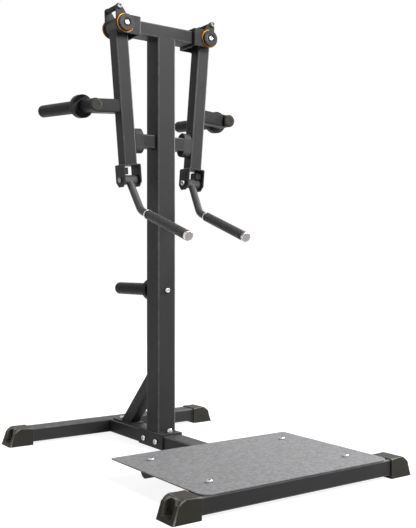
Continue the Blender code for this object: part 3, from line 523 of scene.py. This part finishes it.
def softened(points, size, closed=False):
    """The same outline with each corner turned over by a short curve."""
    result = []
    count = len(points)
    for place, point in enumerate(points):
        ends = not closed and place in (0, count - 1)
        if ends or len(point) > 2 or point[0] == 0.0:
            result.append(point)
            continue
        here = Vector(point[:2])
        before = Vector(points[place - 1][:2]) - here
        after = Vector(points[(place + 1) % count][:2]) - here
        cut = min(size, before.length * 0.45, after.length * 0.45)
        first = here + before.normalized() * cut
        last = here + after.normalized() * cut
        for step in range(4):
            t = step / 3
            spot = first * (1 - t) ** 2 + here * 2 * t * (1 - t) + last * t ** 2
            result.append((spot.x, spot.y))
    return result


def ring_reach(radius, angle, kind):
    if kind != "hex":
        return radius
    part = (angle + math.pi / 6) % (math.pi / 3) - math.pi / 6
    return radius * math.cos(math.pi / 6) / math.cos(part)


def lathe(name, profile, there, look, facets=round_facets, closed=False):
    """Turns (radius, height) points round the Z of a place. A third word, hex, makes a six-sided ring."""
    shape = bmesh.new()
    rings = []
    for radius, height, *kind in profile:
        if radius == 0.0:
            rings.append([shape.verts.new((0.0, 0.0, height))])
            continue
        ring = []
        for number in range(facets):
            angle = 2 * math.pi * number / facets
            reach = ring_reach(radius, angle, kind[0] if kind else "round")
            ring.append(shape.verts.new((reach * math.cos(angle), reach * math.sin(angle), height)))
        rings.append(ring)
    pairs = list(zip(rings, rings[1:]))
    if closed:
        pairs.append((rings[-1], rings[0]))
    for first, second in pairs:
        for number in range(facets):
            after = (number + 1) % facets
            corners = [first[number % len(first)], first[after % len(first)]]
            corners += [second[after % len(second)], second[number % len(second)]]
            shape.faces.new(list(dict.fromkeys(corners)))
    bmesh.ops.recalc_face_normals(shape, faces=shape.faces)
    mesh = bpy.data.meshes.new(name)
    shape.to_mesh(mesh)
    shape.free()
    piece = bpy.data.objects.new(name, mesh)
    bpy.context.scene.collection.objects.link(piece)
    piece.matrix_world = there
    # Half-strength painted highlights along the turned piece's edges.
    mark_edge_highlights(mesh, 0.5)
    mesh.materials.append(look)
    mesh.shade_smooth()
    mesh.set_sharp_from_angle(angle=smooth_angle)
    keep_flat_faces_flat(piece)
    return piece


def button_head(radius, height, start=0.0):
    """Domed head with a chamfered hexagon socket, from the middle of its top to its seat."""
    socket = radius * 0.52
    depth = height * 0.62
    points = [
        (0.0, start + height - depth - 0.0008),
        (socket * 0.8, start + height - depth),
        (socket, start + height - depth + 0.0004, "hex"),
        (socket, start + height - 0.0005, "hex"),
        (socket + 0.0006, start + height),
    ]
    flat = socket + 0.0009
    low = height * 0.22
    for step in range(1, 9):
        angle = step / 8 * math.pi / 2
        reach = flat + (radius - flat) * math.sin(angle)
        points.append((reach, start + low + (height - low) * math.cos(angle)))
    points.append((radius, start + 0.0003))
    points.append((radius - 0.0003, start))
    return points


def screw(
    name, there, head_radius, head_height, radius, length, body, nodes, nut=0.0, look=bright_steel
):
    """A button-head bolt from its seat down, with a domed nut of its own at the far end if asked."""
    profile = button_head(head_radius, head_height)
    profile += [(radius, 0.0), (radius, -length + 0.0008), (radius - 0.0008, -length)]
    profile.append((0.0, -length))
    piece = lathe(name, profile, there, look, bolt_facets)
    show(piece, body, nodes)
    if nut:
        dome = head_radius * 0.80
        profile = [
            (radius + 0.0002, -length), (head_radius * 0.86, -length),
            (head_radius, -length - nut * 0.10, "hex"), (head_radius, -length - nut * 0.38, "hex"),
            (dome, -length - nut * 0.48),
        ]
        for step in range(1, 7):
            angle = step / 6 * math.pi / 2
            drop = nut * (0.48 + 0.52 * math.sin(angle))
            profile.append((dome * math.cos(angle) if step < 6 else 0.0, -length - drop))
        piece = lathe(name + "_nut", profile, there, grey_steel, bolt_facets)
        show(piece, body)


def bead(name, points, there, body, size=weld_size):
    """A painted weld bead with fine ripples, laid round a ring of points in a joint's corner."""
    path = [Vector(point) for point in points]
    path.append(path[0])
    spots = []
    for start, end in zip(path, path[1:]):
        steps = max(1, round((end - start).length / 0.0015))
        spots += [start.lerp(end, step / steps) for step in range(steps)]
    shape = bmesh.new()
    rings = []
    count = len(spots)
    for number, spot in enumerate(spots):
        way = (spots[(number + 1) % count] - spots[number - 1]).normalized()
        helper = Vector((0.0, 0.0, 1.0)) if abs(way.z) < 0.8 else Vector((1.0, 0.0, 0.0))
        u = way.cross(helper).normalized()
        v = way.cross(u)
        swell = size * (1.0 + 0.10 * math.sin(number * 1.9))
        ring = []
        for corner in range(8):
            angle = corner * math.pi / 4
            ring.append(shape.verts.new(spot + swell * (u * math.cos(angle) + v * math.sin(angle))))
        rings.append(ring)
    for first, second in zip(rings, rings[1:] + rings[:1]):
        for corner in range(8):
            after = (corner + 1) % 8
            shape.faces.new((first[corner], first[after], second[after], second[corner]))
    bmesh.ops.recalc_face_normals(shape, faces=shape.faces)
    mesh = bpy.data.meshes.new(name)
    shape.to_mesh(mesh)
    shape.free()
    piece = bpy.data.objects.new(name, mesh)
    bpy.context.scene.collection.objects.link(piece)
    piece.matrix_world = there
    mesh.materials.append(frame_paint)
    mesh.shade_smooth()
    return show(piece, body)


def rectangle(width, height, corner, to_point):
    """Points round a rectangle with cut corners; to_point turns (u, v) into a place."""
    w, h = width / 2, height / 2
    flat = [
        (w - corner, h), (-w + corner, h), (-w, h - corner), (-w, -h + corner),
        (-w + corner, -h), (w - corner, -h), (w, -h + corner), (w, h - corner),
    ]
    return [to_point(u, v) for u, v in flat]


def circle(radius, to_point, steps=48):
    angles = [2 * math.pi * step / steps for step in range(steps)]
    return [to_point(radius * math.cos(a), radius * math.sin(a)) for a in angles]


# Fasteners

def box_middle(name):
    low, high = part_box(name)
    return (low + high) / 2, low, high


def floor_bolts():
    for row in ("front", "rear"):
        for _, word in sides:
            name = f"platform_bolt_{row}_{word}"
            middle, low, high = box_middle(name)
            seat = high.z - bolt_head_height
            screw(
                name + "_shown", moved(middle.x, middle.y, seat), bolt_head_radius,
                bolt_head_height, platform_bolt_radius, seat - low.z, "frame", [name],
            )


def upright_bolts():
    for name, height in (("saddle_top_bolt", tall_head_height), ("brace_bolt", bolt_head_height)):
        middle, low, high = box_middle(name)
        seat = high.z - height
        there = moved(middle.x, middle.y, seat)
        length = seat - low.z
        screw(name + "_shown", there, bolt_head_radius, height, bolt_radius, length, "frame", [name])


def saddle_bolts():
    for word in ("front", "rear"):
        name = "saddle_bolt_" + word
        middle, low, high = box_middle(name)
        seat = low.x + bolt_head_height
        screw(
            name + "_shown", facing(moved(seat, middle.y, middle.z), "-X"), bolt_head_radius,
            bolt_head_height, bolt_radius, high.x - cap_nut - seat, "frame", [name], cap_nut,
        )


def storage_bolt():
    middle, low, high = box_middle("storage_bolt")
    seat = low.y + bolt_head_height
    screw(
        "storage_bolt_shown", facing(moved(middle.x, seat, middle.z), "-Y"), bolt_head_radius,
        bolt_head_height, bolt_radius, high.y - cap_nut - seat, "frame", ["storage_bolt"], cap_nut,
    )


def arm_bolts(side, word):
    body = "arm_" + word
    name = "stop_bolt_" + word
    middle, low, high = box_middle(name)
    seat = low.y + bolt_head_height
    screw(
        name + "_shown", facing(moved(middle.x, seat, middle.z), "-Y"), bolt_head_radius,
        bolt_head_height, bolt_radius, high.y - bolt_head_height - seat, body, [name],
        bolt_head_height, dull_steel,
    )
    reach = fork_width / 2 + seam
    way = "-X" if side > 0 else "X"
    there = facing(arm_frame(side) @ moved(x=-side * reach, z=fork_pin_z), way)
    name = "handle_bolt_" + word
    screw(
        name + "_shown", there, bolt_head_radius, bolt_head_height, bolt_radius, 2 * reach,
        body, [name], bolt_head_height,
    )


# Pivots

def pivot_caps(side, word):
    front = facing(pivot_frame(side), "-Y")
    rear = facing(pivot_frame(side), "Y")
    start = ear_outer + seam
    bore = shaft_radius + seam
    ring = [
        (bore, start), (trim_radius, start), (trim_radius, start + trim_width),
        (bore, start + trim_width),
    ]
    ring = softened(ring, 0.0009, True)
    for there, place_word in ((front, "front"), (rear, "rear")):
        piece = lathe(f"trim_ring_{place_word}_{word}", ring, there, gold_trim, round_facets, True)
        show(piece, "frame")
    begin = start + trim_width
    end = start + cap_thickness
    lip = cap_thickness * 0.16
    profile = [
        (bore, begin), (cap_radius - 0.0006, begin), (cap_radius, begin + 0.0006),
        (cap_radius, end - lip),
        (cap_radius - lip, end), (cap_recess_radius + lip + 0.0035, end),
        (cap_recess_radius + lip + 0.0025, end - 0.0007), (cap_recess_radius + lip, end - 0.0007),
        (cap_recess_radius, end - cap_recess), (bore, end - cap_recess),
    ]
    profile = softened(profile, 0.0005, True)
    name = f"pivot_cap_front_{word}_shown"
    piece = lathe(name, profile, front, cap_plastic, round_facets, True)
    show(piece, "frame", ["pivot_cap_front_" + word])
    end = start + rear_cap_thickness
    lip = (rear_cap_thickness - trim_width) / 2
    profile = [
        (bore, begin), (rear_cap_radius, begin), (rear_cap_radius, end - lip),
        (rear_cap_radius - lip, end), (bore, end),
    ]
    profile = softened(profile, 0.0006, True)
    name = f"pivot_cap_rear_{word}_shown"
    piece = lathe(name, profile, rear, cap_plastic, round_facets, True)
    show(piece, "frame", ["pivot_cap_rear_" + word])


def pivot_shaft(side, word):
    front_seat = ear_outer + 2 * seam + cap_thickness - cap_recess
    rear_seat = ear_outer + 2 * seam + rear_cap_thickness
    front_end = button_head(shaft_head_radius, shaft_head_height, front_seat)
    rear_end = button_head(shaft_head_radius, shaft_head_height, rear_seat)
    profile = front_end + [(shaft_head_radius - 0.0003, front_seat - 0.0001)]
    profile += [(radius, -height, *kind) for radius, height, *kind in reversed(rear_end)]
    there = facing(pivot_frame(side), "-Y")
    piece = lathe(f"pivot_shaft_{word}_shown", profile, there, bright_steel, bolt_facets)
    show(piece, "frame", ["pivot_shaft_" + word])


# Horns

def horn_caps(side, word):
    for place_word, at, way, look, slot_name in (
        ("front", horn_front - end_cap, "-Y", horn_plug, "foot_plastic"),
        ("rear", horn_rear - end_cap, "Y", cap_plastic, "black_plastic"),
    ):
        name = f"horn_{place_word}_cap_{word}"
        cap(name, at, facing(horn_frame(side), way), "arm_" + word, look)


def cap(name, at, there, body, look):
    rim = end_cap * 0.62
    plug = horn_radius - 0.0035
    profile = [(0.0, at - 0.014), (plug, at - 0.014), (plug, at + seam)]
    profile.append((horn_radius - 0.0003, at + seam))
    for step in range(9):
        angle = step / 8 * math.pi / 2
        height = at + seam + end_cap - rim + rim * math.sin(angle)
        profile.append((horn_radius - rim + rim * math.cos(angle), height))
    face = at + seam + end_cap
    profile += [(horn_radius * 0.45, face), (horn_radius * 0.42, face - 0.0006), (0.0, face - 0.0006)]
    piece = lathe(name + "_shown", profile, there, look)
    show(piece, body, [name])


# Handles

def handle_grip(side, word):
    there = facing(grip_frame(side), "-Y")
    body = "handle_" + word
    bore = rod_radius + seam
    profile = [
        (bore, 0.0), (grip_radius - 0.0008, 0.0), (grip_radius + 0.0005, 0.0014),
        (grip_radius + 0.0005, grip_ring - 0.0014), (grip_radius - 0.0004, grip_ring),
        (bore, grip_ring),
    ]
    profile = softened(profile, 0.0006, True)
    piece = lathe(f"grip_ring_{word}_shown", profile, there, chrome, round_facets, True)
    show(piece, body, ["grip_ring_" + word])
    near = grip_ring + seam
    far = grip_ring + grip_length - seam
    profile = [(bore, near), (grip_radius - 0.0012, near), (grip_radius, near + 0.0015)]
    low = grip_radius - 0.0007
    for start in (near + 0.004, far - 0.014):
        for groove in range(3):
            at = start + groove * 0.004
            profile += [(grip_radius, at), (low, at + 0.0006), (low, at + 0.0012)]
            profile.append((grip_radius, at + 0.0018))
    profile += [(grip_radius, far - 0.0015), (grip_radius - 0.0012, far), (bore, far)]
    piece = lathe(f"grip_{word}_shown", profile, there, soft_grip, round_facets, True)
    show(piece, body, ["grip_" + word])
    grip_end(word, there, bore, far + seam)


def grip_end(word, there, bore, near):
    """Polished cap on the grip's end, with a satin disc let into its face."""
    body = "handle_" + word
    depth = near + 0.005 + seam
    far = near + grip_cap
    disc = grip_radius - 0.0016
    profile = [
        (0.0, depth), (bore, depth), (bore, near), (grip_radius - 0.0005, near),
        (grip_radius, near + 0.0005), (grip_radius, far - 0.0016), (grip_radius - 0.0016, far),
        (disc + 0.0005, far), (disc, far - 0.0008), (0.0, far - 0.0008),
    ]
    piece = lathe(f"grip_cap_{word}_shown", softened(profile, 0.0006), there, chrome)
    show(piece, body, ["grip_cap_" + word])
    profile = [
        (0.0, far - 0.0009), (disc - 0.0003, far - 0.0009), (disc - 0.0003, far - 0.0004),
        (0.0, far - 0.0004),
    ]
    piece = lathe(f"grip_cap_disc_{word}", profile, there, satin_chrome)
    show(piece, body)


# Weld beads

def frame_welds():
    low = base_top + seam + saddle_plate
    top = pivot_z - crossbar_height / 2
    around = rectangle(column_width, column_depth, weld_corner, lambda u, v: (u, v, low))
    bead("column_foot_weld", around, base_frame, "frame")
    around = rectangle(column_width, column_width, weld_corner, lambda u, v: (u, v, top))
    bead("column_head_weld", around, base_frame, "frame")


def arm_welds(side, word):
    body = "arm_" + word
    foot = rectangle(arm_size, arm_size, weld_corner, lambda u, v: (u, v, -arm_length))
    bead("fork_weld_" + word, foot, arm_frame(side), body)
    at = side * (arm_size / 2 + seam)
    low = horn_drop + horn_bracket_drop
    root = rectangle(horn_bracket, horn_bracket, weld_corner, lambda u, v: (at, u, v - low))
    bead("horn_bracket_weld_" + word, root, arm_frame(side), body)
    for number, y in enumerate((collar_y, collar_y + collar_thickness)):
        around = circle(horn_radius + 0.0004, lambda u, v: (u, y, v))
        bead(f"collar_weld_{number}_{word}", around, horn_frame(side), body, collar_weld_size)
    reach = barrel_length / 2
    for number, y in enumerate((-reach, reach)):
        around = circle(barrel_radius, lambda u, v: (u, y, v), 60)
        bead(f"yoke_weld_{number}_{word}", around, arm_frame(side), body, yoke_weld_size)


round_looks = {"weight_horn": horn_paint, "storage": storage_paint, "handle_rod": handle_paint}
rebuilt = (
    "platform_bolt", "saddle", "brace_bolt", "storage_bolt", "storage_end", "stop_bolt",
    "handle_bolt", "pivot_cap", "pivot_shaft", "horn_front", "horn_rear", "grip",
)
for node_name in sorted(frame["nodes"]):
    if not any(node_name.startswith(word) for word in rebuilt):
        look_name = node_name.rsplit("_", 1)[0]
        # The pivot brackets get only a tenth of the painted edge highlight.
        highlight_share = 0.1 if look_name == "pivot_bracket" else 1.0
        dressed(node_name, round_looks.get(look_name), highlight_share)
floor_bolts()
upright_bolts()
saddle_bolts()
storage_bolt()
storage_end = column_depth / 2 + seam + storage_length
cap("storage_end_cap", storage_end, facing(storage_frame, "Y"), "frame", cap_plastic)
for side_sign, side_word in sides:
    arm_bolts(side_sign, side_word)
    pivot_caps(side_sign, side_word)
    pivot_shaft(side_sign, side_word)
    horn_caps(side_sign, side_word)
    handle_grip(side_sign, side_word)
    arm_welds(side_sign, side_word)
frame_welds()


# Room, light and camera

def seen_directly(tree):
    """1 for what the camera, metal and glass see, 0 for the light that falls on things."""
    path = tree.nodes.new("ShaderNodeLightPath")
    value = path.outputs["Is Camera Ray"]
    for name in ("Is Glossy Ray", "Is Transmission Ray"):
        node = tree.nodes.new("ShaderNodeMath")
        node.operation = "MAXIMUM"
        tree.links.new(value, node.inputs[0])
        tree.links.new(path.outputs[name], node.inputs[1])
        value = node.outputs[0]
    return value


def room(half=20.0, near_glow=0.90, albedo=0.34):
    """A white floor that keeps the shadow near the machine and fades into the white further off."""
    mesh = bpy.data.meshes.new("floor")
    corners = [(-half, -half, 0), (half, -half, 0), (half, half, 0), (-half, half, 0)]
    mesh.from_pydata(corners, [], [(0, 1, 2, 3)])
    floor = bpy.data.objects.new("floor", mesh)
    floor.location.z = -0.0004
    bpy.context.scene.collection.objects.link(floor)
    item = blank_material("floor_white", (albedo, albedo, albedo), 0.9, specular=0.0)
    tree = item.node_tree
    length = tree.nodes.new("ShaderNodeVectorMath")
    length.operation = "LENGTH"
    give(item, length.inputs[0], place_in_piece(item))
    glow = ramp(item, length.outputs["Value"], 1.0, 3.0, near_glow, 1.0)
    shader = tree.nodes["Principled BSDF"]
    shader.inputs["Emission Color"].default_value = (1.0, 1.0, 1.0, 1.0)
    to_shader(item, "Emission Strength", calc(item, "MULTIPLY", seen_directly(tree), glow))
    mesh.materials.append(item)


def sky(ambient=0.045):
    world = bpy.data.worlds.new("studio")
    bpy.context.scene.world = world
    world.use_nodes = True
    tree = world.node_tree
    back = tree.nodes["Background"]
    back.inputs["Color"].default_value = (1.0, 1.0, 1.0, 1.0)
    strength = tree.nodes.new("ShaderNodeMapRange")
    tree.links.new(seen_directly(tree), strength.inputs["Value"])
    strength.inputs["To Min"].default_value = ambient
    strength.inputs["To Max"].default_value = 1.0
    tree.links.new(strength.outputs["Result"], back.inputs["Strength"])


def lamp(name, place, target, size, power, mirrored=True):
    light = bpy.data.lights.new(name, "AREA")
    light.shape = "DISK"
    light.size = size
    light.energy = power
    item = bpy.data.objects.new(name, light)
    item.location = place
    item.rotation_euler = (Vector(target) - Vector(place)).to_track_quat("-Z", "Y").to_euler()
    item.visible_glossy = mirrored
    bpy.context.scene.collection.objects.link(item)


def camera():
    view = bpy.data.cameras.new("camera")
    view.lens = camera_lens
    view.sensor_width = 36.0
    item = bpy.data.objects.new("camera", view)
    item.location = camera_place
    item.rotation_euler = (math.radians(90.0), 0.0, camera_turn)
    bpy.context.scene.collection.objects.link(item)
    bpy.context.scene.camera = item


room()
sky()
lamp("key", (0.6, -2.2, 2.7), (0.0, 0.1, 1.1), size=1.6, power=84.0)
lamp("side", (3.5, -0.6, 2.2), (0.0, 0.1, 0.9), size=1.5, power=190.0)
lamp("back", (0.9, 4.2, 1.7), (0.0, 0.2, 0.9), size=2.0, power=60.0, mirrored=False)
lamp("fill", (-3.6, 1.0, 1.5), (0.0, 0.2, 0.9), size=2.0, power=14.0, mirrored=False)
camera()

bpy.context.scene.view_settings.view_transform = "Standard"
